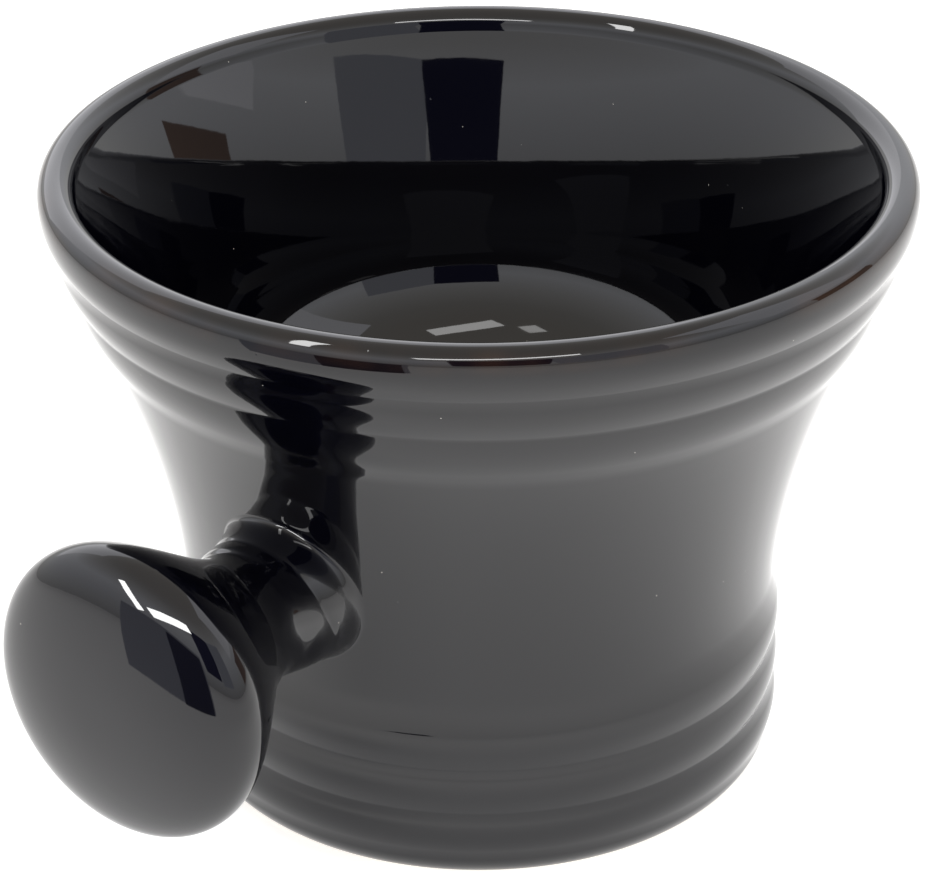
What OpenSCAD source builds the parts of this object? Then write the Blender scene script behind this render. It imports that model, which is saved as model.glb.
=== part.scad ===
// Glazed ceramic shaving mug with a flared rim, ringed foot and a knob handle.
// Millimetres. +Z is up, the origin is on the bowl's axis at the table, and the handle points along -Y.

/* [Bowl outside] */
// Outside diameter at the widest line of the rim
rim_d = 114; // [110:1:120]
// Overall height, table to the crest of the lip
mug_h = 85.6; // [83:0.2:90]
// Outside diameter at the waist, just above the ringed foot
waist_d = 80.1; // [79:0.1:82]
// Outside diameter of the grooves between the foot rings
foot_groove_d = 80.6; // [79:0.1:83]
// How far each foot ring stands out from its grooves
foot_ring_rise = 0.65; // [0.3:0.05:1]
// Radius of the rounded corner at the bottom of the foot
foot_corner_r = 4.8; // [3:0.1:6]
// How far each band under the rim stands out from its grooves
grip_ring_rise = 0.45; // [0.2:0.05:0.8]

/* [Bowl inside] */
// Thickness of the rounded lip
lip_t = 4.8; // [4:0.1:5.6]
// Height of the bowl's floor above the table
floor_h = 40; // [38.5:0.1:44]
// Radius of the curve between the wall and the floor
floor_curve_r = 18.5; // [17:0.5:22]
// Inside diameter where the wall runs into that curve
bowl_low_d = 83.6; // [82:0.1:84]

/* [Foot] */
// Inside diameter of the bare ring the mug stands on
foot_bore_d = 63; // [60:0.5:65]
// Width of that ring
foot_w = 3.8; // [3:0.1:4.2]
// Height of the hollow under the floor
hollow_h = 34; // [28:0.5:34.5]

/* [Knob handle] */
// Diameter of the knob
knob_d = 38.6; // [34:0.2:42]
// Distance from the bowl's axis to the tip of the knob
knob_reach = 79.2; // [76:0.2:84]
// Depth of the knob's domed face
knob_dome = 6.8; // [5:0.1:9]
// Diameter of the neck at its narrowest
neck_d = 17.5; // [15:0.1:19]
// Height of the neck's axis above the table
handle_h = 41.5; // [38:0.5:45]
// Distance from the neck to the edge of the cove round its root
root_cove = 2.6; // [1.8:0.1:3]

/* [Layers] */
// Thickness of the fired glaze
glaze_t = 0.4; // [0.3:0.05:0.5]
// Thickness of the slip that joins the neck to the wall
slip_t = 0.6; // [0.4:0.1:1]

/* [Hidden] */
$fn = 96;

glaze_black = [0.05, 0.05, 0.06];
bisque_cream = [0.86, 0.80, 0.71];
slip_grey = [0.72, 0.68, 0.62];

// ---- curves: every point is [radius, height] ----

// arc about a centre, angles in degrees from the outward direction
function arc(centre, r, from, to, steps) =
  [for (i = [0 : steps]) let (a = from + (to - from) * i / steps) centre + r * [cos(a), sin(a)]];

// shallow bulge between two points, standing out by rise at its middle
function bulge(a, b, rise, steps) =
  let (d = (b - a) / norm(b - a), outward = [d[1], -d[0]])
  [for (i = [0 : steps]) let (t = i / steps) a + (b - a) * t + outward * rise * 4 * t * (1 - t)];

// cubic curve from a to b, leaving and arriving along the two handles' directions
function curve(a, a_handle, b_handle, b, steps) =
  [for (i = [0 : steps]) let (t = i / steps, u = 1 - t)
    u * u * u * a + 3 * u * u * t * a_handle + 3 * u * t * t * b_handle + t * t * t * b];

// a list without its first point, for joining stretches that share one
function tail(path) = [for (i = [1 : len(path) - 1]) path[i]];
function reversed(path) = [for (i = [len(path) - 1 : -1 : 0]) path[i]];

// the path moved sideways, to the right of its direction of travel when d is positive
function shifted(path, d) =
  let (last = len(path) - 1)
  [for (i = [0 : last])
    let (
      along = path[min(i + 1, last)] - path[max(i - 1, 0)],
      side = [along[1], -along[0]] / norm(along)
    ) path[i] + side * d];

// ---- glazed outline of the bowl, from the glaze line at the foot, over the lip, to the floor ----

rim_r = rim_d / 2;
lip_r = lip_t / 2;
lip_z = mug_h - lip_r;
foot_groove_r = foot_groove_d / 2;
waist_r = waist_d / 2;
// the glaze is wiped off below this height
glaze_line_h = 1.2;

// heights of the grooves that bound the three foot rings, and of the waist above them
foot_ring_z = [foot_corner_r, 10.9, 17.5, 24.2];
waist_z = 26.7;
// the grip's grooves, from the top down: how far each lies inside the rim and below the lip's crest
grip_inset = [1.4, 3.6, 7.0];
grip_drop = [7.2, 13.3, 20.7];
grip = [for (k = [0 : len(grip_inset) - 1]) [rim_r - grip_inset[k], mug_h - grip_drop[k]]];
// the wall leaves the waist upright and reaches the lowest groove with this lean
wall_rise_low = 9;
wall_rise_high = 13;
wall_lean_high = 0.477;

corner_centre = [foot_groove_r - foot_corner_r, foot_corner_r];
glaze_line_a = -asin((foot_corner_r - glaze_line_h) / foot_corner_r);

// straight steps in one ring, one long wall, one rounded corner and the lip
ring_steps = 6;
wall_steps = 14;
corner_steps = 6;
lip_steps = 12;

outside_foot = concat(
  arc(corner_centre, foot_corner_r, glaze_line_a, 0, corner_steps),
  [for (k = [0 : len(foot_ring_z) - 2]) each tail(bulge(
    [foot_groove_r, foot_ring_z[k]], [foot_groove_r, foot_ring_z[k + 1]], foot_ring_rise, ring_steps))]
);
waist = [waist_r, waist_z];
outside_wall = curve(
  waist, waist + [0, wall_rise_low],
  grip[2] - wall_rise_high * [wall_lean_high, 1], grip[2], wall_steps);
outside_grip = concat(
  bulge(grip[2], grip[1], grip_ring_rise, ring_steps),
  tail(bulge(grip[1], grip[0], grip_ring_rise, ring_steps)),
  tail(bulge(grip[0], [rim_r, lip_z], grip_ring_rise, ring_steps))
);
lip_centre = [rim_r - lip_r, lip_z];
lip = arc(lip_centre, lip_r, 0, 180, lip_steps);

// the inside wall leans out most under the lip and stands steeper toward the floor's curve
inside_lean_high = 0.6;
// lean of the wall from upright, in degrees, where the floor's curve takes over
floor_curve_a = 11.3;
floor_steps = 9;
bowl_low = [bowl_low_d / 2, floor_h + floor_curve_r * (1 - sin(floor_curve_a))];
floor_centre = bowl_low - floor_curve_r * [cos(floor_curve_a), -sin(floor_curve_a)];
inside_top = [rim_r - lip_t, lip_z];
inside_third = (inside_top[1] - bowl_low[1]) / 3;
inside_wall = curve(
  inside_top, inside_top - inside_third * [inside_lean_high, 1],
  bowl_low + inside_third * [tan(floor_curve_a), 1], bowl_low, wall_steps);
floor_curve = arc(floor_centre, floor_curve_r, -floor_curve_a, -90, floor_steps);

skin_up = concat(outside_foot, outside_wall, tail(outside_grip));
skin = concat(skin_up, tail(lip), tail(inside_wall), tail(floor_curve), [[0, floor_h]]);
clay_skin = shifted(skin, -glaze_t);
crest = len(skin_up) - 1 + lip_steps / 2;

// ---- glazed outline of the hollow under the floor, from the middle down to the foot ring ----

bore_r = foot_bore_d / 2;
hollow_corner_r = 7;
hollow_taper = 1;
hollow_corner = [bore_r - hollow_taper - hollow_corner_r, hollow_h - hollow_corner_r];
hollow = concat(
  [[0, hollow_h]],
  arc(hollow_corner, hollow_corner_r, 90, 0, corner_steps),
  [[bore_r, glaze_line_h]]
);
clay_hollow = shifted(hollow, -glaze_t);

// bare clay ring between the two glaze lines
foot_chamfer = 0.5;
foot_inner = bore_r + glaze_t;
foot_ring = [
  [foot_inner, foot_chamfer],
  [foot_inner + foot_chamfer, 0],
  [foot_inner + foot_w, 0],
  [foot_inner + foot_w + foot_chamfer, foot_chamfer],
];

// ---- handle: the knob and neck turn about a level axis, the cove about the wall's own normal ----

neck_r = neck_d / 2;
knob_r = knob_d / 2;
knob_rim_s = knob_reach - knob_dome;
neck_s = 52;
// the face is a superellipse, a little fuller than a plain ellipse
face_power = 2.37;
face_steps = 10;
knob_face = [for (i = [0 : face_steps])
  let (u = sin(90 * i / face_steps))
  [knob_r * pow(1 - pow(u, face_power), 1 / face_power), knob_rim_s + knob_dome * u]];
// the back leaves the neck along it, and meets the knob's widest line square to the face
neck_pull = 5;
rim_pull = 4.4;
back_steps = 12;
knob_back = curve(
  [neck_r, neck_s], [neck_r, neck_s + neck_pull],
  [knob_r, knob_rim_s - rim_pull], [knob_r, knob_rim_s], back_steps);
// the neck widens a little toward the wall and runs on inside it, where the wall trims it
root_s = 34;
root_flare = 1.9;
root_steps = 5;
neck_root = curve(
  [neck_r + root_flare, root_s], [neck_r + root_flare / 3, (2 * root_s + neck_s) / 3],
  [neck_r, (root_s + 2 * neck_s) / 3], [neck_r, neck_s], root_steps);
knob_skin = concat(neck_root, tail(knob_back), tail(knob_face));
knob_clay = [for (p = shifted(knob_skin, -glaze_t)) [max(p[0], 0), p[1]]];

wall_table = [for (p = shifted(outside_wall, -glaze_t)) [p[1], p[0]]];
wall_r = lookup(handle_h, wall_table);
// the wall's lean is measured between two heights this far above and below the handle's axis
lean_reach = 3;
wall_lean = atan(
  (lookup(handle_h + lean_reach, wall_table) - lookup(handle_h - lean_reach, wall_table)) / (2 * lean_reach));

// cove outline about the wall's normal, as radius and height over the wall: a steep skirt that runs on
// below the wall, where the wall falls away on both sides of the neck, and a soft top against the neck
cove_skirt_h = 0.5;
cove_depth = 3;
cove_top_h = 4.4;
cove_top_inset = 0.4;
cove_foot_pull = 1.2;
cove_top_pull = [0.6, -1.4];
// turn about its own axis, which keeps its facets off the neck's
cove_turn = 40;
function cove(grow) =
  let (
    foot = [neck_r + root_cove + grow, cove_skirt_h],
    top = [neck_r - cove_top_inset, cove_top_h + grow]
  )
  concat(
    [foot + [cove_depth / 3, -cove_depth - cove_skirt_h]],
    curve(foot, foot + [-root_cove / 2, cove_foot_pull], top + cove_top_pull, top, root_steps)
  );

// ---- helpers that place solids ----

module turned(path) {
  rotate_extrude() polygon(path);
}

module on_handle_axis() {
  translate([0, 0, handle_h]) rotate([90, 0, 0]) children();
}

module on_wall_normal() {
  translate([0, -wall_r, handle_h]) rotate([90 + wall_lean, 0, 0]) children();
}

// everything inside the clay wall's outside surface, grown outward by the given amount
module inside_the_wall(grow) {
  wall = shifted(shifted(outside_wall, -glaze_t), grow);
  first = wall[0];
  last = wall[len(wall) - 1];
  turned(concat([[0, first[1]]], wall, [[0, last[1]]]));
}

module cove_plug(grow) {
  outline = cove(grow);
  on_wall_normal() rotate([0, 0, cove_turn])
    turned(concat([[0, outline[0][1]]], outline, [[0, outline[len(outline) - 1][1]]]));
}

module knob_plug(path) {
  on_handle_axis() turned(concat([[0, path[0][1]]], path));
}

// ---- the parts ----

module mug_body() {
  color(bisque_cream)
    turned(concat(clay_skin, clay_hollow, foot_ring));
}

module knob_handle() {
  color(bisque_cream)
    difference() {
      knob_plug(knob_clay);
      inside_the_wall(slip_t);
    }
}

module handle_slip() {
  color(slip_grey)
    difference() {
      cove_plug(0);
      inside_the_wall(0);
      knob_handle();
    }
}

module glaze_outside() {
  color(glaze_black)
    difference() {
      turned(concat(
        [for (i = [0 : crest]) skin[i]],
        [for (i = [crest : -1 : 0]) clay_skin[i]]
      ));
      cove_plug(glaze_t);
    }
}

module glaze_inside() {
  last = len(skin) - 1;
  color(glaze_black)
    turned(concat(
      [for (i = [crest : last]) skin[i]],
      [for (i = [last : -1 : crest]) clay_skin[i]]
    ));
}

module glaze_knob() {
  color(glaze_black)
    difference() {
      union() {
        knob_plug(knob_skin);
        cove_plug(glaze_t);
      }
      inside_the_wall(0);
      cove_plug(0);
      knob_plug(knob_clay);
    }
}

module glaze_underside() {
  color(glaze_black)
    turned(concat(hollow, reversed(clay_hollow)));
}

mug_body();
knob_handle();
handle_slip();
glaze_outside();
glaze_inside();
glaze_knob();
glaze_underside();
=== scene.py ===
"""Looks of the glazed shaving mug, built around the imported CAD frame.

Shapes are worked out in millimetres and turned into metres when a mesh is made. +Z is up, the
bowl's axis is the Z axis, and the knob handle points along -Y, as in the CAD.
"""

import math

import bpy
from mathutils import Matrix, Vector


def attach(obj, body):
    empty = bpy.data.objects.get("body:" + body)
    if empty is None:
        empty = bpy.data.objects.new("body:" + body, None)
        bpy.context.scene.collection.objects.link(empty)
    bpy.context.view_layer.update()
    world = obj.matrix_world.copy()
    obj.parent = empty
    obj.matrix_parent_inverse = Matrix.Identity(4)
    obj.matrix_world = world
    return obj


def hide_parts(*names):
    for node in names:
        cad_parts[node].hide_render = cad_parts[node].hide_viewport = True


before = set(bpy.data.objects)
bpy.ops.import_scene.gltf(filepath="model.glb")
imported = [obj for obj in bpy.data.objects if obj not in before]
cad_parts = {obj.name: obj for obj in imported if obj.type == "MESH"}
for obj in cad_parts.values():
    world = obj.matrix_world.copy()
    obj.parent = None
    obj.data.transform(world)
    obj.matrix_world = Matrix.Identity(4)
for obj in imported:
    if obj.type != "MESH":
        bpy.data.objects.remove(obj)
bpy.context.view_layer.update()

MM = 0.001

# ---- sizes in millimetres, the same as the CAD's; a name in _S is a distance along the handle ----

RIM_R = 57.0
MUG_H = 85.6
WAIST_R = 40.05
WAIST_Z = 26.7
FOOT_R = 40.3
FOOT_CORNER_R = 4.8
FOOT_RING_Z = (4.8, 10.9, 17.5, 24.2)
FOOT_RING_RISE = 0.65
GRIP_RING_RISE = 0.45
GRIP_1 = Vector((RIM_R - 1.4, MUG_H - 7.2))
GRIP_2 = Vector((RIM_R - 3.6, MUG_H - 13.3))
GRIP_3 = Vector((RIM_R - 7.0, MUG_H - 20.7))
WALL_LOW_HANDLE = Vector((0, 9))
WALL_HIGH_HANDLE = Vector((6.2, 13))
LIP_R = 2.4
LIP_Z = MUG_H - LIP_R
FLOOR_H = 40.0
FLOOR_CURVE_R = 18.5
FLOOR_CURVE_ANGLE = 11.3
BOWL_LOW_R = 41.8
INSIDE_LEAN_HIGH = 0.60
GLAZE_LINE_H = 1.2
GLAZE_T = 0.4
BORE_R = 31.5
HOLLOW_H = 34.0
HOLLOW_CORNER_R = 7.0
HOLLOW_TAPER = 1.0
HANDLE_H = 41.5
NECK_R = 8.75
NECK_S = 52.0
KNOB_R = 19.3
KNOB_DOME = 6.8
KNOB_TIP_S = 79.2
KNOB_RIM_S = KNOB_TIP_S - KNOB_DOME
KNOB_NECK_HANDLE = Vector((0, 5))
KNOB_RIM_HANDLE = Vector((0, 4.4))
FACE_POWER = 2.37

# ---- fineness of the meshes ----

COLUMNS = 240
FACE_STEPS = 60
# a ring with a smaller radius than this is a single point on the axis
ON_AXIS = 1e-6
DENSE_STEP = 0.12
# rounds of softening that turn the outline's corners into the glaze's own small radii
GLAZE_PASSES = 8
# a mesh ring is kept at least this often, in millimetres and in degrees of turn
LONGEST_STEP = 1.5
LONGEST_KNOB_STEP = 1.0
LONGEST_HOLLOW_STEP = 2.5
SHARPEST_TURN = math.radians(7.5)


# ---- outlines: a path is a list of points (radius, height) in millimetres ----


def arc(centre, radius, start, end, steps=40):
    """Arc about a centre, angles in degrees from the outward direction."""
    path = []
    for i in range(steps + 1):
        a = math.radians(start + (end - start) * i / steps)
        path.append(Vector(centre) + radius * Vector((math.cos(a), math.sin(a))))
    return path


def bulge(a, b, rise, steps=40):
    """Shallow convex band between two grooves."""
    along = (b - a).normalized()
    outward = Vector((along.y, -along.x))
    path = []
    for i in range(steps + 1):
        t = i / steps
        path.append(a.lerp(b, t) + outward * rise * 4 * t * (1 - t))
    return path


def cubic(a, a_handle, b_handle, b, steps=40):
    """Cubic curve from a to b, leaving and arriving along the two handles."""
    path = []
    for i in range(steps + 1):
        t = i / steps
        u = 1 - t
        path.append(u**3 * a + 3 * u * u * t * a_handle + 3 * u * t * t * b_handle + t**3 * b)
    return path


def joined(*paths):
    """One path from several that share their end points."""
    whole = list(paths[0])
    for path in paths[1:]:
        whole.extend(path[1:])
    return whole


def evenly(path, step):
    """The path resampled to points about one step apart."""
    lengths = [0.0]
    for a, b in zip(path, path[1:]):
        lengths.append(lengths[-1] + (b - a).length)
    count = max(2, round(lengths[-1] / step))
    out = []
    k = 0
    for i in range(count + 1):
        s = lengths[-1] * i / count
        while k < len(path) - 2 and lengths[k + 1] < s:
            k += 1
        out.append(path[k].lerp(path[k + 1], (s - lengths[k]) / (lengths[k + 1] - lengths[k])))
    return out


def resampled(path, count):
    """The path as a set number of even steps."""
    total = sum((b - a).length for a, b in zip(path, path[1:]))
    return evenly(path, total / count)


def softened(path, passes):
    """The path with its sharp turns rounded, as the melted glaze rounds them."""
    for _ in range(passes):
        inner = [(a + 2 * b + c) / 4 for a, b, c in zip(path, path[1:], path[2:])]
        path = [path[0], *inner, path[-1]]
    return path


def with_normals(path):
    """Pairs of point and outward normal, for a path that runs up the outside."""
    pairs = []
    for i, p in enumerate(path):
        along = path[min(i + 1, len(path) - 1)] - path[max(i - 1, 0)]
        pairs.append((p, Vector((along.y, -along.x)).normalized()))
    return pairs


def thinned(pairs, longest=LONGEST_STEP, sharpest=SHARPEST_TURN):
    """The pairs that are needed: more where the path turns, fewer where it runs straight."""
    kept = [pairs[0]]
    length = 0.0
    for before, here in zip(pairs, pairs[1:]):
        length += (here[0] - before[0]).length
        if length >= longest or kept[-1][1].angle(here[1]) >= sharpest:
            kept.append(here)
            length = 0.0
    if 0.0 < length < longest / 3:
        kept.pop()
    if length > 0.0:
        kept.append(pairs[-1])
    return kept


def outside_outline():
    """Up the outside, from the glaze line at the foot to the widest line of the rim."""
    corner = Vector((FOOT_R - FOOT_CORNER_R, FOOT_CORNER_R))
    start = -math.degrees(math.asin((FOOT_CORNER_R - GLAZE_LINE_H) / FOOT_CORNER_R))
    foot = arc(corner, FOOT_CORNER_R, start, 0)
    rings = [
        bulge(Vector((FOOT_R, low)), Vector((FOOT_R, high)), FOOT_RING_RISE)
        for low, high in zip(FOOT_RING_Z, FOOT_RING_Z[1:])
    ]
    shoulder = [Vector((FOOT_R, FOOT_RING_Z[-1])), Vector((WAIST_R, WAIST_Z))]
    waist = Vector((WAIST_R, WAIST_Z))
    wall = cubic(waist, waist + WALL_LOW_HANDLE, GRIP_3 - WALL_HIGH_HANDLE, GRIP_3)
    grip = [
        bulge(GRIP_3, GRIP_2, GRIP_RING_RISE),
        bulge(GRIP_2, GRIP_1, GRIP_RING_RISE),
        bulge(GRIP_1, Vector((RIM_R, LIP_Z)), GRIP_RING_RISE),
    ]
    return joined(foot, *rings, shoulder, wall, *grip)


def inside_outline():
    """Over the lip and down the inside to the middle of the bowl's floor."""
    lip = arc((RIM_R - LIP_R, LIP_Z), LIP_R, 0, 180)
    turn = math.radians(FLOOR_CURVE_ANGLE)
    low = Vector((BOWL_LOW_R, FLOOR_H + FLOOR_CURVE_R * (1 - math.sin(turn))))
    top = Vector((RIM_R - 2 * LIP_R, LIP_Z))
    third = (top.y - low.y) / 3
    top_handle = top - third * Vector((INSIDE_LEAN_HIGH, 1))
    low_handle = low + third * Vector((math.tan(turn), 1))
    wall = cubic(top, top_handle, low_handle, low)
    centre = low - FLOOR_CURVE_R * Vector((math.cos(turn), -math.sin(turn)))
    curve = arc(centre, FLOOR_CURVE_R, -FLOOR_CURVE_ANGLE, -90)
    return joined(lip, wall, curve, [curve[-1], Vector((0, FLOOR_H))])


def knob_outline():
    """The knob alone, as (radius, distance along the handle), from its neck to its tip."""
    rim = Vector((KNOB_R, KNOB_RIM_S))
    neck = Vector((NECK_R, NECK_S))
    back = cubic(neck, neck + KNOB_NECK_HANDLE, rim - KNOB_RIM_HANDLE, rim)
    face = []
    for i in range(FACE_STEPS + 1):
        u = math.sin(math.pi / 2 * i / FACE_STEPS)
        r = KNOB_R * max(0.0, 1 - u**FACE_POWER) ** (1 / FACE_POWER)
        face.append(Vector((r, KNOB_RIM_S + KNOB_DOME * u)))
    return joined(back, face)


# ---- skins: open sheets of points with their normals, later thickened ----


class Skin:
    """A sheet under construction. Points and normals are in millimetres."""

    def __init__(self):
        self.points = []
        self.normals = []
        self.faces = []

    def add(self, point, normal):
        self.points.append(Vector(point))
        self.normals.append(Vector(normal).normalized())
        return len(self.points) - 1

    def bridge(self, lower, upper):
        """Faces between two closed rings of the same number of points."""
        count = len(lower)
        for k in range(count):
            n = (k + 1) % count
            self.faces.append((lower[k], lower[n], upper[n], upper[k]))

    def cap(self, ring, tip):
        count = len(ring)
        for k in range(count):
            self.faces.append((ring[k], ring[(k + 1) % count], tip))


def on_bowl(pair, angle):
    """Point and normal of an outline pair turned about the bowl's axis; angle 0 is the handle's."""
    (r, z), (nr, nz) = pair
    across, out = math.sin(angle), -math.cos(angle)
    return Vector((r * across, r * out, z)), Vector((nr * across, nr * out, nz))


def revolved(pairs, columns=COLUMNS):
    """A sheet turned about the bowl's axis. An end on the axis is closed with a fan."""
    skin = Skin()
    rings = []
    for pair in pairs:
        if pair[0].x < ON_AXIS:
            rings.append([skin.add(*on_bowl(pair, 0.0))])
            continue
        ring = [skin.add(*on_bowl(pair, math.tau * j / columns)) for j in range(columns)]
        rings.append(ring)
    for lower, upper in zip(rings, rings[1:]):
        if len(upper) == 1:
            skin.cap(lower, upper[0])
        elif len(lower) == 1:
            skin.cap(upper[::-1], lower[0])
        else:
            skin.bridge(lower, upper)
    return skin


# ---- the handle's patch: a window in the wall's grid, a round hole in it, the cove and the knob ----

# the window's lower and upper edges, and its half width in columns of the grid
WINDOW_LOW = 27.6
WINDOW_HIGH = 56.2
WINDOW_HALF_COLUMNS = 15
# how far past the window the wall's outline is kept, for the patch's own points
WINDOW_MARGIN = 4.0
# where the cove leaves the wall, seen along the handle
COVE_R = 11.2
# the crease between the cove's skirt and the neck: its radius, its distance along the handle, how
# much farther along it lies for each millimetre of height, and its middle's shift off the axis
CREASE_R = 9.63
CREASE_S = 45.96
CREASE_LEAN = 0.32
CREASE_SHIFT = Vector((0.33, 0, -0.29))
# the skirt's direction at the crease, as a turn inward from along the handle
SKIRT_TURN = math.radians(24)
# how strongly the skirt holds its direction at its two ends, and the neck at its two ends
WALL_PULL = 1.0
SKIRT_PULL = 1.8
NECK_PULL = 3.0
WAIST_PULL = 1.3
# the neck is drawn wider than round on one side, which the CAD's isn't, and round again this far
# toward the knob: a guess from what the neck mirrors, as no outline shows it
NECK_FULLNESS = 1.12
FULLEST_AT = math.radians(28)
FULLNESS_REACH = 7.0
ROOT_STEP = 0.1
ROOT_PASSES = 5
PATCH_RINGS = 9
ROOT_RINGS = 44
# a step along the wall that is small enough to give its direction
TINY_STEP = 0.01


def wall_at(outline_pairs, x, z):
    """Point and normal of the bowl's outside wall at a place seen along the handle."""
    for (p, n), (q, m) in zip(outline_pairs, outline_pairs[1:]):
        if p.y <= z <= q.y:
            t = (z - p.y) / (q.y - p.y)
            pair = (p.lerp(q, t), n.lerp(m, t).normalized())
            return on_bowl(pair, math.asin(x / pair[0].x))
    raise ValueError(f"the wall has no height {z}")


def seen(radius, angle):
    """Place seen along the handle, at a radius and angle about the handle's axis."""
    return radius * math.cos(angle), HANDLE_H + radius * math.sin(angle)


def smooth_step(t):
    """From 0 to 1 with a soft start and end."""
    return t * t * (3 - 2 * t)


def fullness(angle, s):
    """How much wider than round the neck is drawn, at an angle and a place along it."""
    toward_fullest = max(0.0, math.cos(angle - FULLEST_AT))
    faded = min(1.0, max(0.0, (s - NECK_S) / FULLNESS_REACH))
    return NECK_FULLNESS * toward_fullest**2 * smooth_step(1 - faded)


def root_path(wall_pairs, angle):
    """One line up the handle's root at an angle about its axis, from the cove's edge to the neck.

    A steep skirt rises from the wall to a crease, which lies in a plane that leans with the wall.
    From the crease the neck draws in to its narrowest.
    """
    spoke = Vector((math.cos(angle), 0, math.sin(angle)))
    edge = wall_at(wall_pairs, *seen(COVE_R, angle))[0]
    just_inside = wall_at(wall_pairs, *seen(COVE_R - TINY_STEP, angle))[0]
    inward = (just_inside - edge).normalized()
    crease_s = CREASE_S + CREASE_LEAN * CREASE_R * math.sin(angle)
    crease = Vector((0, -crease_s, HANDLE_H)) + spoke * CREASE_R + CREASE_SHIFT
    skirt_way = Vector((0, -math.cos(SKIRT_TURN), 0)) - spoke * math.sin(SKIRT_TURN)
    skirt = cubic(edge, edge + inward * WALL_PULL, crease - skirt_way * SKIRT_PULL, crease)
    waist = Vector((0, -NECK_S, HANDLE_H)) + spoke * (NECK_R + fullness(angle, NECK_S))
    to_wall = Vector((0, 1, 0))
    neck = cubic(crease, crease - to_wall * NECK_PULL, waist + to_wall * WAIST_PULL, waist)
    fine = evenly(joined(skirt, neck), ROOT_STEP)
    return resampled(softened(fine, ROOT_PASSES), ROOT_RINGS)[1:]


def patch_rings(window, wall_pairs):
    """Rings of points on the wall, from the window's square edge to the cove's round one.

    Every ring has the window's own number of points, so that the sheet stays in one piece.
    """
    rings = []
    for i in range(1, PATCH_RINGS + 1):
        t = i / PATCH_RINGS
        ring = []
        for corner, round_angle in zip(window, ring_angles(len(window))):
            x, z = corner.x, corner.z - HANDLE_H
            square_angle = math.atan2(z, x)
            turn = (round_angle - square_angle + math.pi) % math.tau - math.pi
            angle = square_angle + turn * smooth_step(t)
            radius = math.hypot(x, z) * (1 - t) + COVE_R * t
            ring.append(wall_at(wall_pairs, *seen(radius, angle))[0])
        rings.append(ring)
    return rings


def ring_angles(count):
    """Angles about the handle's axis, from straight down."""
    return [math.tau * k / count - math.pi / 2 for k in range(count)]


def knob_rings(count, wall_pairs):
    """Rings of points from just above the cove's edge to the knob's tip, the tip left out."""
    angles = ring_angles(count)
    roots = [root_path(wall_pairs, a) for a in angles]
    rings = [[root[i] for root in roots] for i in range(ROOT_RINGS)]
    outline = with_normals(evenly(knob_outline(), DENSE_STEP))
    knob = thinned(outline, longest=LONGEST_KNOB_STEP)
    for (r, s), _ in knob[1:-1]:
        places = [seen(r + fullness(a, s), a) for a in angles]
        rings.append([Vector((x, -s, z)) for x, z in places])
    return rings


def ring_normals(before, ring, after):
    """Outward normals of a ring from its neighbours, allowing for uneven spacing."""
    normals = []
    count = len(ring)
    for k, p in enumerate(ring):
        around = ring[(k + 1) % count] - ring[k - 1]
        back, ahead = p - before[k], after[k] - p
        across = back * (ahead.length / back.length) + ahead * (back.length / ahead.length)
        normals.append(around.cross(across).normalized())
    return normals


def glaze_outline():
    """Pairs of point and normal along the glazed outline, parted at the lip's inner edge."""
    outline = joined(outside_outline(), inside_outline())
    dense = with_normals(softened(evenly(outline, DENSE_STEP), GLAZE_PASSES))
    crest = max(range(len(dense)), key=lambda i: dense[i][0].y)
    edge = next(i for i in range(crest, len(dense)) if dense[i][0].y < LIP_Z)
    return dense[: edge + 1], dense[edge:]


def outside_skins():
    """The outside's sheet, from the foot over the lip, and the knob's, from the cove on."""
    dense = glaze_outline()[0]
    top = WINDOW_HIGH + WINDOW_MARGIN
    wall_pairs = [pair for pair in dense if WAIST_Z <= pair[0].y <= top]
    pairs = thinned(dense)
    rows = range(len(pairs))
    first = next(i for i in rows if pairs[i][0].y >= WINDOW_LOW)
    last = next(i for i in rows if pairs[i][0].y > WINDOW_HIGH) - 1
    half = WINDOW_HALF_COLUMNS
    columns = range(-COLUMNS // 2, COLUMNS // 2)

    skin = Skin()
    grid = {}
    for i in rows:
        for j in columns:
            if first < i < last and abs(j) < half:
                continue
            grid[i, j] = skin.add(*on_bowl(pairs[i], math.tau * j / COLUMNS))
    for i in rows[:-1]:
        for j in columns:
            if first <= i < last and -half <= j < half:
                continue
            n = j + 1 if j + 1 in columns else columns[0]
            skin.faces.append((grid[i, j], grid[i, n], grid[i + 1, n], grid[i + 1, j]))
    foot = [grid[0, j] for j in columns]
    lip_edge = [grid[rows[-1], j] for j in columns]

    loop = [grid[first, j] for j in range(0, half)]
    loop += [grid[i, half] for i in range(first, last)]
    loop += [grid[last, j] for j in range(half, -half, -1)]
    loop += [grid[i, -half] for i in range(last, first, -1)]
    loop += [grid[first, j] for j in range(-half, 0)]
    window = [skin.points[v] for v in loop]
    below = loop
    for ring in patch_rings(window, wall_pairs):
        here = [skin.add(p, wall_at(wall_pairs, p.x, p.z)[1]) for p in ring]
        skin.bridge(below, here)
        below = here
    cove_edge = below

    knob = Skin()
    below = [knob.add(skin.points[v], skin.normals[v]) for v in cove_edge]
    knob_start = below
    tip = Vector((0, -KNOB_TIP_S, HANDLE_H))
    rings = knob_rings(len(loop), wall_pairs)
    chain = [[skin.points[v] for v in cove_edge], *rings, [tip] * len(loop)]
    for before, ring, after in zip(chain, rings, chain[2:]):
        here = [knob.add(p, n) for p, n in zip(ring, ring_normals(before, ring, after))]
        knob.bridge(below, here)
        below = here
    knob.cap(below, knob.add(tip, (0, -1, 0)))
    return skin, foot, lip_edge, cove_edge, knob, knob_start


# ---- meshes ----


# flat steps in the half turn of a rounded edge
BEAD_STEPS = 4


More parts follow.
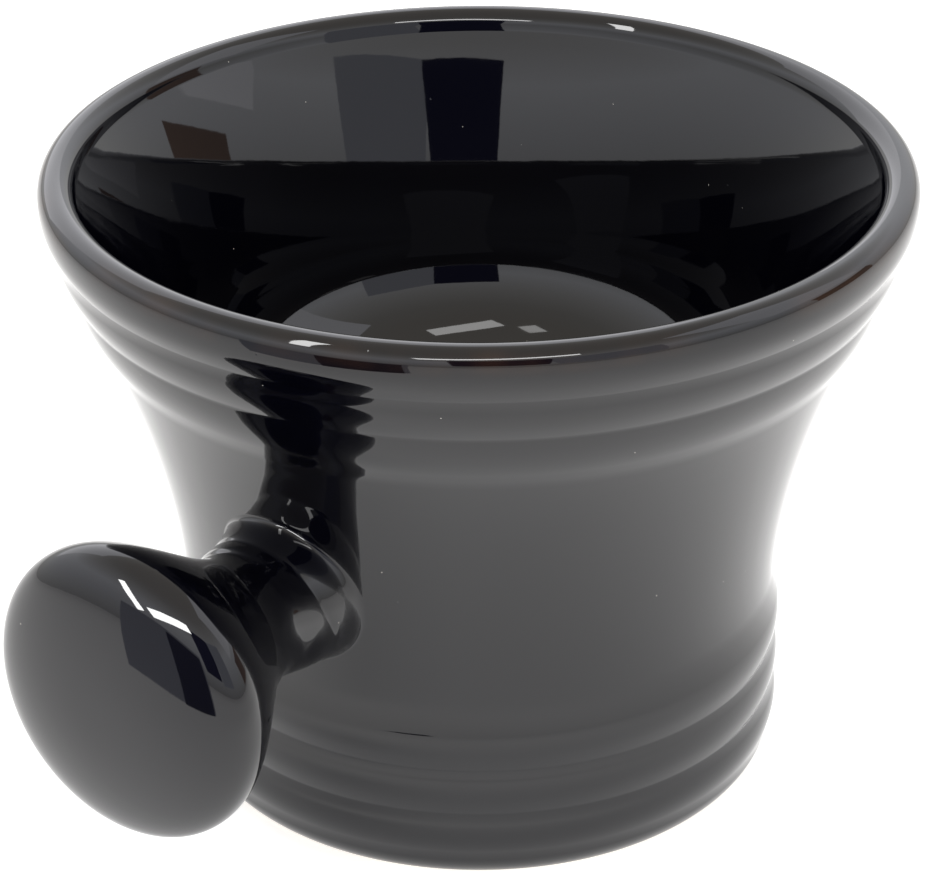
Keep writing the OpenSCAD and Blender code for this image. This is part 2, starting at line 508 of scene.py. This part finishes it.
def shell_object(name, skin, beads=(), butts=(), thickness=GLAZE_T):
    """A closed shell: the sheet, a copy one glaze thickness inside it, and its closed edges.

    A bead is a rounded edge, given as the edge ring and the ring next to it. A butt is a square
    edge, where another shell carries on. An edge that the sheet starts from is given in order,
    and one that it ends at is given backward.
    """
    count = len(skin.points)
    points = list(skin.points)
    normals = list(skin.normals)
    faces = list(skin.faces)
    for p, n in zip(skin.points, skin.normals):
        points.append(p - n * thickness)
        normals.append(-n)
    faces += [tuple(v + count for v in reversed(face)) for face in skin.faces]
    for ring, ring_inside in beads:
        below = [v + count for v in ring]
        for i in range(1, BEAD_STEPS):
            a = math.pi * i / BEAD_STEPS
            here = []
            for v, inside in zip(ring, ring_inside):
                p, n = skin.points[v], skin.normals[v]
                beyond = p - skin.points[inside]
                beyond = (beyond - n * beyond.dot(n)).normalized()
                middle = p - n * thickness / 2
                side = -n * math.cos(a) + beyond * math.sin(a)
                here.append(len(points))
                points.append(middle + side * thickness / 2)
                normals.append(side)
            faces += ring_faces(below, here)
            below = here
        faces += ring_faces(below, ring)
    for ring in butts:
        faces += ring_faces([v + count for v in ring], ring)
    return mesh_object(name, points, faces, normals)


def ring_faces(lower, upper):
    count = len(lower)
    return [
        (lower[k], lower[(k + 1) % count], upper[(k + 1) % count], upper[k]) for k in range(count)
    ]


def mesh_object(name, points, faces, normals=None):
    mesh = bpy.data.meshes.new(name)
    mesh.from_pydata([p * MM for p in points], [], faces)
    mesh.validate()
    mesh.shade_smooth()
    if normals is not None:
        mesh.normals_split_custom_set_from_vertices([tuple(n) for n in normals])
    obj = bpy.data.objects.new(name, mesh)
    bpy.context.scene.collection.objects.link(obj)
    return obj


def make_outer_glazes():
    skin, foot, lip_edge, cove_edge, knob, knob_start = outside_skins()
    beads = [(foot, rim_neighbours(skin, foot))]
    outside = shell_object("outside_glaze", skin, beads, [lip_edge[::-1], cove_edge[::-1]])
    return outside, shell_object("knob_glaze", knob, butts=[knob_start])


def make_inside_glaze():
    skin = revolved(thinned(glaze_outline()[1]))
    return shell_object("inside_glaze", skin, butts=[list(range(COLUMNS))])


def rim_neighbours(skin, ring):
    """For each point of an edge ring, the point across the first band of faces from it."""
    partner = {}
    members = set(ring)
    for face in skin.faces:
        if len(face) == 4 and face[0] in members and face[1] in members:
            partner[face[0]] = face[3]
            partner[face[1]] = face[2]
        elif len(face) == 4 and face[2] in members and face[3] in members:
            partner[face[2]] = face[1]
            partner[face[3]] = face[0]
    return [partner[v] for v in ring]


def hollow_outline():
    """From the middle of the hollow's ceiling down to the glaze line at the foot."""
    corner = (BORE_R - HOLLOW_TAPER - HOLLOW_CORNER_R, HOLLOW_H - HOLLOW_CORNER_R)
    curve = arc(corner, HOLLOW_CORNER_R, 90, 0)
    bottom = Vector((BORE_R, GLAZE_LINE_H))
    return joined([Vector((0, HOLLOW_H)), curve[0]], curve, [curve[-1], bottom])


def make_underside_glaze():
    path = softened(evenly(hollow_outline(), DENSE_STEP), GLAZE_PASSES)
    # the path's own normals point into the hollow. Turned round, they lay the shell on that side of
    # the path, which leaves a gap of one glaze thickness between it and the CAD's clay
    pairs = thinned([(p, -n) for p, n in with_normals(path)], longest=LONGEST_HOLLOW_STEP)
    skin = revolved(pairs[::-1])
    rim = list(range(COLUMNS))
    return shell_object("underside_glaze", skin, [(rim, rim_neighbours(skin, rim))])


# ---- materials: every pattern is set out in millimetres on the object itself ----


def node(tree, kind, inputs=None, **settings):
    """Adds a shader node. An input is given by name or number, as a value or another output."""
    made = tree.nodes.new("ShaderNode" + kind)
    for key, value in settings.items():
        setattr(made, key, value)
    for key, value in (inputs or {}).items():
        if isinstance(value, bpy.types.NodeSocket):
            tree.links.new(value, made.inputs[key])
        else:
            made.inputs[key].default_value = value
    return made


def maths(tree, operation, a, b=0.0):
    return node(tree, "Math", {0: a, 1: b}, operation=operation).outputs[0]


def ramp_between(tree, value, low, high):
    """0 where the value is at low, 1 where it is at high, with soft ends."""
    inputs = {"Value": value, "From Min": low, "From Max": high}
    return node(tree, "MapRange", inputs, interpolation_type="SMOOTHSTEP").outputs["Result"]


def blended(tree, factor, a, b):
    """Colour that goes from a to b with the factor."""
    mix = node(tree, "Mix", {"Factor": factor}, data_type="RGBA")
    for name, value in (("A", a), ("B", b)):
        sockets = [i for i in mix.inputs if i.name == name and i.type == "RGBA"]
        if isinstance(value, bpy.types.NodeSocket):
            tree.links.new(value, sockets[0])
        else:
            sockets[0].default_value = (*value, 1)
    return next(o for o in mix.outputs if o.type == "RGBA")


def noise(tree, place, size, detail=2.0):
    """Noise with features about the given size in millimetres."""
    inputs = {"Vector": place, "Scale": 1 / size, "Detail": detail}
    return node(tree, "TexNoise", inputs).outputs["Fac"]


def cell_distance(tree, place, spacing):
    """Distance from the nearest of scattered points, in parts of their spacing in millimetres."""
    inputs = {"Vector": place, "Scale": 1 / spacing, "Randomness": 1.0}
    return node(tree, "TexVoronoi", inputs).outputs["Distance"]


def started_material(name):
    """A new material, its tree, its shader and the place on the object in millimetres."""
    material = bpy.data.materials.new(name)
    material.use_nodes = True
    tree = material.node_tree
    shader = tree.nodes["Principled BSDF"]
    here = node(tree, "TexCoord").outputs["Object"]
    place = node(tree, "VectorMath", {0: here, "Scale": 1 / MM}, operation="SCALE").outputs["Vector"]
    return material, tree, shader, place


def set_relief(tree, shader, height):
    """Bump from a height in millimetres."""
    bump = node(tree, "Bump", {"Height": height, "Distance": MM, "Strength": 1.0})
    tree.links.new(bump.outputs["Normal"], shader.inputs["Normal"])


def glaze_relief(tree, place):
    """Height of the glaze: a slow swell, a fine orange peel and a few pinholes."""
    swell_size, swell_height = 19, 0.05
    peel_size, peel_height = 1.7, 0.0016
    pinhole_spacing, pinhole_share, pinhole_depth = 6.5, 0.03, 0.02
    swell = maths(tree, "MULTIPLY", noise(tree, place, swell_size, 1), swell_height)
    peel = maths(tree, "MULTIPLY", noise(tree, place, peel_size, 1), peel_height)
    off_pinhole = ramp_between(tree, cell_distance(tree, place, pinhole_spacing), 0.0, pinhole_share)
    pinholes = maths(tree, "MULTIPLY", off_pinhole, pinhole_depth)
    return maths(tree, "ADD", maths(tree, "ADD", swell, peel), pinholes)


def thin_on_lip(tree, place):
    """1 in the patches of the lip's outer edge where the glaze ran thin, 0 elsewhere."""
    axes = node(tree, "SeparateXYZ", {"Vector": place}).outputs
    across = maths(tree, "POWER", axes["X"], 2.0)
    along = maths(tree, "POWER", axes["Y"], 2.0)
    radius = maths(tree, "SQRT", maths(tree, "ADD", across, along))
    thin_from, thin_full = RIM_R - 2.4, RIM_R - 0.3
    height_from, height_full = LIP_Z - 1.2, LIP_Z + 0.4
    patch_size = 14
    beyond = ramp_between(tree, radius, thin_from, thin_full)
    high = ramp_between(tree, axes["Z"], height_from, height_full)
    patchy = ramp_between(tree, noise(tree, place, patch_size), 0.42, 0.66)
    return maths(tree, "MULTIPLY", maths(tree, "MULTIPLY", beyond, high), patchy)


def black_glaze():
    """Glossy black glaze: nearly a mirror, a little uneven, brown where it runs thin on the lip."""
    thick_black, pooled_black = (0.0006, 0.0006, 0.0018), (0.0012, 0.0012, 0.0026)
    thin_brown = (0.013, 0.006, 0.0035)
    speck_white = (0.42, 0.40, 0.36)
    pool_size = 30
    speck_spacing, speck_share, speck_roughness = 4.6, 0.018, 0.45
    haze_size, haze_roughness, clear_roughness = 11, 0.035, 0.03

    material, tree, shader, place = started_material("black_glaze")
    set_relief(tree, shader, glaze_relief(tree, place))

    pooled = ramp_between(tree, noise(tree, place, pool_size), 0.3, 0.7)
    body = blended(tree, pooled, thick_black, pooled_black)
    broken = blended(tree, thin_on_lip(tree, place), body, thin_brown)
    speck = maths(tree, "LESS_THAN", cell_distance(tree, place, speck_spacing), speck_share)
    tree.links.new(blended(tree, speck, broken, speck_white), shader.inputs["Base Color"])

    hazy = ramp_between(tree, noise(tree, place, haze_size, 4), 0.45, 0.8)
    gloss = maths(tree, "ADD", maths(tree, "MULTIPLY", hazy, haze_roughness), clear_roughness)
    dull = maths(tree, "MULTIPLY", speck, speck_roughness)
    tree.links.new(maths(tree, "ADD", gloss, dull), shader.inputs["Roughness"])
    shader.inputs["IOR"].default_value = 1.5
    return material


def bisque_clay():
    """Matt fired clay: a sandy grain, darker grog, and grey rubbing on the face it stands on."""
    light, dark, stain = (0.62, 0.53, 0.41), (0.50, 0.42, 0.32), (0.20, 0.17, 0.14)
    grain_size, grain_height, grain_roughness, least_roughness = 0.45, 0.05, 0.25, 0.66
    cloud_size, rub_size = 9, 3
    grog_spacing, grog_share, grog_strength = 1.6, 0.13, 0.55
    rub_height, rub_full = 0.5, 0.02

    material, tree, shader, place = started_material("bisque_clay")
    grain = noise(tree, place, grain_size, 4)
    set_relief(tree, shader, maths(tree, "MULTIPLY", grain, grain_height))

    cloud = ramp_between(tree, noise(tree, place, cloud_size, 3), 0.35, 0.7)
    tone = blended(tree, cloud, light, dark)
    grog = maths(tree, "LESS_THAN", cell_distance(tree, place, grog_spacing), grog_share)
    flecked = blended(tree, maths(tree, "MULTIPLY", grog, grog_strength), tone, stain)
    height = node(tree, "SeparateXYZ", {"Vector": place}).outputs["Z"]
    low = ramp_between(tree, height, rub_height, rub_full)
    rubbed = maths(tree, "MULTIPLY", low, noise(tree, place, rub_size, 4))
    tree.links.new(blended(tree, rubbed, flecked, stain), shader.inputs["Base Color"])

    rough = maths(tree, "MULTIPLY", grain, grain_roughness)
    tree.links.new(maths(tree, "ADD", rough, least_roughness), shader.inputs["Roughness"])
    return material


# ---- the pieces ----

glaze = black_glaze()
bisque = bisque_clay()

outside, knob = make_outer_glazes()
inside = make_inside_glaze()
underside = make_underside_glaze()
for piece in (outside, knob, inside, underside):
    piece.data.materials.append(glaze)
    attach(piece, "root")
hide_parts("glaze_outside")
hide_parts("glaze_knob", "handle_slip")
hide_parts("glaze_inside")
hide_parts("glaze_underside")

for name in ("mug_body", "knob_handle"):
    for slot in bpy.data.objects[name].material_slots:
        slot.material = bisque

# ---- the studio: a small white tent, open in front, with strip lights in its top and its front; the opening and the room beyond are painted reflections on cards ----

MUG_MIDDLE = Vector((0, 0, 0.06))
KNOB_MIDDLE = Vector((0, -0.079, 0.045))
TENT_FRONT_Y = -0.214
HIGH_STRIP_DISTANCE = 0.9


def toward(azimuth, elevation):
    """Unit vector. Azimuth 0 is -Y, the handle's side, and 90 is +X; both angles in degrees."""
    a, e = math.radians(azimuth), math.radians(elevation)
    return Vector((math.sin(a) * math.cos(e), -math.cos(a) * math.cos(e), math.sin(e)))


def facing(obj, middle, x_side, target):
    """Stands a flat thing at a place, facing a target, with its X side along a direction."""
    back = (middle - target).normalized()
    x_side = (x_side - back * x_side.dot(back)).normalized()
    turn = Matrix((x_side, back.cross(x_side), back)).transposed().to_4x4()
    obj.matrix_world = Matrix.Translation(middle) @ turn
    obj.visible_camera = False


def strip_light(name, a, b, width, luminance, target):
    """A strip light from one place to another, facing a target, all in metres."""
    lamp = bpy.data.lights.new(name, "AREA")
    lamp.shape = "RECTANGLE"
    lamp.size = (b - a).length
    lamp.size_y = width
    lamp.energy = luminance * math.pi * lamp.size * lamp.size_y
    obj = bpy.data.objects.new(name, lamp)
    bpy.context.scene.collection.objects.link(obj)
    facing(obj, (a + b) / 2, b - a, target)
    return obj


def card(name, middle, width, height, colour, target):
    """A card with a level edge and a luminance per colour channel: a painted reflection, which lights
    nothing and is seen only as a reflection.
    """
    x, y = width / 2 / MM, height / 2 / MM
    corners = [Vector((-x, -y, 0)), Vector((x, -y, 0)), Vector((x, y, 0)), Vector((-x, y, 0))]
    obj = mesh_object(name, corners, [(0, 1, 2, 3)])
    material = bpy.data.materials.new(name)
    material.use_nodes = True
    tree = material.node_tree
    glow = node(tree, "Emission", {"Color": (*colour, 1), "Strength": 1.0})
    tree.links.new(glow.outputs["Emission"], tree.nodes["Material Output"].inputs["Surface"])
    obj.data.materials.append(material)
    level = Vector((0, 0, 1)).cross(middle - target)
    # painted reflection: the card is seen by no camera ray, lights nothing and casts no shadow
    facing(obj, middle, level, target)
    obj.visible_diffuse = False
    obj.visible_shadow = False


def far_card(name, azimuths, elevations, colour, distance):
    """A painted-reflection card that spans a range of directions seen from the mug."""
    azimuth, elevation = sum(azimuths) / 2, sum(elevations) / 2
    wide = 2 * distance * math.tan(math.radians(azimuths[1] - azimuths[0]) / 2)
    high = 2 * distance * math.tan(math.radians(elevations[1] - elevations[0]) / 2)
    middle = MUG_MIDDLE + distance * toward(azimuth, elevation)
    card(name, middle, wide * math.cos(math.radians(elevation)), high, colour, MUG_MIDDLE)


def front_card(name, x_range, z_range, colour, y):
    """An upright painted-reflection card in the tent's front opening, square to the handle."""
    middle = Vector((sum(x_range) / 2, y, sum(z_range) / 2))
    width, height = x_range[1] - x_range[0], z_range[1] - z_range[0]
    card(name, middle, width, height, colour, middle + Vector((0, 1, 0)))


def lights_only(lamp, piece):
    """Keeps a light to one piece, as a flag beside a lamp does."""
    group = bpy.data.collections.new(lamp.name)
    group.objects.link(piece)
    lamp.light_linking.receiver_collection = group


def front_strip(name, start, end, width, luminance):
    """A strip light in the tent's front for the knob's face, its ends given as (x, z)."""
    a = Vector((start[0], TENT_FRONT_Y, start[1]))
    b = Vector((end[0], TENT_FRONT_Y, end[1]))
    lights_only(strip_light(name, a, b, width, luminance, KNOB_MIDDLE), knob)


def high_strip(name, start, end, width, luminance, piece):
    """A strip light high in the tent for one piece, its ends given as directions from the mug."""
    a = MUG_MIDDLE + HIGH_STRIP_DISTANCE * toward(*start)
    b = MUG_MIDDLE + HIGH_STRIP_DISTANCE * toward(*end)
    lights_only(strip_light(name, a, b, width, luminance, MUG_MIDDLE), piece)


# world light of the tent: elevation in degrees, luminance by colour channel
TENT_STOPS = (
    (0, (0.90, 0.89, 0.87)),
    (5, (1.10, 1.10, 1.10)),
    (14, (1.35, 1.36, 1.42)),
    (27, (1.72, 1.74, 1.82)),
    (40, (1.32, 1.30, 1.28)),
    (54, (1.00, 0.96, 0.90)),
    (66, (0.94, 0.88, 0.80)),
    (90, (0.94, 0.88, 0.80)),
)
# a colour ramp holds values up to 1, so the stops are divided by this and the world multiplies by it
TENT_STRONGEST = 2.0


def tent_sky():
    """World light: luminance by the sine of the elevation, brightest a third of the way up."""
    world = bpy.data.worlds.new("tent")
    bpy.context.scene.world = world
    world.use_nodes = True
    tree = world.node_tree
    way = node(tree, "TexCoord").outputs["Generated"]
    up = node(tree, "SeparateXYZ", {"Vector": way}).outputs["Z"]
    ramp = node(tree, "ValToRGB", {"Fac": up})
    elements = ramp.color_ramp.elements
    while len(elements) < len(TENT_STOPS):
        elements.new(0.5)
    for element, (elevation, colour) in zip(elements, TENT_STOPS):
        element.position = math.sin(math.radians(elevation))
        element.color = (*(c / TENT_STRONGEST for c in colour), 1)
    sky = tree.nodes["Background"]
    tree.links.new(ramp.outputs["Color"], sky.inputs["Color"])
    sky.inputs["Strength"].default_value = TENT_STRONGEST


FLOOR_HALF = 4000
FLOOR_WHITE = (0.80, 0.80, 0.80, 1)
FLOOR_ROUGHNESS = 0.8
# the floor glows this much everywhere, and this much more in a painted pool of light round the pool's
# middle
FLOOR_GLOW = 0.31
FLOOR_PAINTED_POOL_GLOW = 0.34
PAINTED_POOL_MIDDLE = Vector((60, -40, 0))
PAINTED_POOL_NEAR, PAINTED_POOL_FAR = 20, 170
SOFTBOX_HEIGHT = 1.2
SOFTBOX_SIDE = 1.0
SOFTBOX_LUMINANCE = 3


def pale_floor():
    """White sheet that glows a little everywhere, with a painted pool of light under the mug's lit
    side.
    """
    material, tree, shader, place = started_material("floor")
    # painted pool of light: the floor's glow grows toward the pool's middle
    inputs = {0: place, 1: PAINTED_POOL_MIDDLE}
    offset = node(tree, "VectorMath", inputs, operation="SUBTRACT").outputs["Vector"]
    away = node(tree, "VectorMath", {0: offset}, operation="LENGTH").outputs["Value"]
    painted_pool = ramp_between(tree, away, PAINTED_POOL_FAR, PAINTED_POOL_NEAR)
    glow = maths(tree, "ADD", maths(tree, "MULTIPLY", painted_pool, FLOOR_PAINTED_POOL_GLOW), FLOOR_GLOW)
    tree.links.new(glow, shader.inputs["Emission Strength"])
    shader.inputs["Emission Color"].default_value = (1, 1, 1, 1)
    shader.inputs["Base Color"].default_value = FLOOR_WHITE
    shader.inputs["Roughness"].default_value = FLOOR_ROUGHNESS
    shader.inputs["Specular IOR Level"].default_value = 0.0
    return material


def make_floor():
    """The floor, and a softbox overhead that lights nothing else."""
    h = FLOOR_HALF
    corners = [Vector((-h, -h, 0)), Vector((h, -h, 0)), Vector((h, h, 0)), Vector((-h, h, 0))]
    floor = mesh_object("floor", corners, [(0, 1, 2, 3)])
    floor.data.materials.append(pale_floor())
    a = Vector((-SOFTBOX_SIDE / 2, 0, SOFTBOX_HEIGHT))
    b = Vector((SOFTBOX_SIDE / 2, 0, SOFTBOX_HEIGHT))
    centre = Vector((0, 0, 0))
    softbox = strip_light("floor_softbox", a, b, SOFTBOX_SIDE, SOFTBOX_LUMINANCE, centre)
    lights_only(softbox, floor)


# strips in the tent's front: name, ends as (x, z) in metres, width, luminance
FRONT_STRIPS = (
    ("front_left_strip", (-0.037, 0.100), (-0.078, 0.172), 0.014, 26),
    ("front_right_strip", (-0.022, 0.108), (0.078, 0.172), 0.022, 26),
)
# strips high in the tent: name, ends as (azimuth, elevation), width, luminance, the piece they light
HIGH_STRIPS = (
    ("right_bar", (18, 40), (64, 45), 0.07, 15, outside),
    ("left_bar", (-13, 38), (-32, 64), 0.07, 15, outside),
    ("top_long_bar", (95, 77), (18, 73), 0.10, 5, inside),
    ("top_short_bar", (-8, 72), (-28, 74), 0.08, 4, inside),
)
# cards far off, painted reflections of the room, the dark ones painted dark reflections: name,
# azimuths, elevations, luminance by colour channel, distance in metres
FAR_REFLECTION_CARDS = (
    ("left_glow", (-150, -96), (10, 50), (2.2, 2.2, 2.3), 1.1),
    ("right_glow", (108, 150), (22, 60), (2.0, 2.0, 2.1), 1.1),
    ("dark_gap", (28, 53), (8, 36), (0.05, 0.05, 0.10), 1.1),
    ("grey_screen", (53, 82), (6, 36), (0.86, 0.88, 0.98), 1.15),
    ("doorway", (124, 146), (0, 16), (0.40, 0.28, 0.22), 1.1),
)
# cards in the tent's front, painted reflections of the opening and a dark place in it: name, x range,
# z range, luminance by colour channel, y, all in metres
FRONT_REFLECTION_CARDS = (
    ("opening", (-0.066, 0.080), (0.0005, 0.094), (0.62, 0.63, 0.70), TENT_FRONT_Y),
    ("dark_front", (0.003, 0.074), (0.0005, 0.088), (0.07, 0.07, 0.09), TENT_FRONT_Y + 0.003),
)

tent_sky()
for row in FRONT_STRIPS:
    front_strip(*row)
for row in HIGH_STRIPS:
    high_strip(*row)
for row in FAR_REFLECTION_CARDS:
    far_card(*row)
for row in FRONT_REFLECTION_CARDS:
    front_card(*row)
make_floor()

# ---- camera: its place in metres, and its turns in degrees about Z, then X, then its own view ----

CAMERA_PLACE = (0.24835, -0.34987, 0.27006)
CAMERA_HEADING = 35.66764
CAMERA_TILT = 62.30546
CAMERA_ROLL = -0.3124
LENS_MM = 140.11
SENSOR_MM = 36

camera_data = bpy.data.cameras.new("camera")
camera_data.lens = LENS_MM
camera_data.sensor_width = SENSOR_MM
camera = bpy.data.objects.new("camera", camera_data)
bpy.context.scene.collection.objects.link(camera)
camera.matrix_world = (
    Matrix.Translation(CAMERA_PLACE)
    @ Matrix.Rotation(math.radians(CAMERA_HEADING), 4, "Z")
    @ Matrix.Rotation(math.radians(CAMERA_TILT), 4, "X")
    @ Matrix.Rotation(math.radians(CAMERA_ROLL), 4, "Z")
)
bpy.context.scene.camera = camera
bpy.context.scene.view_settings.view_transform = "Standard"
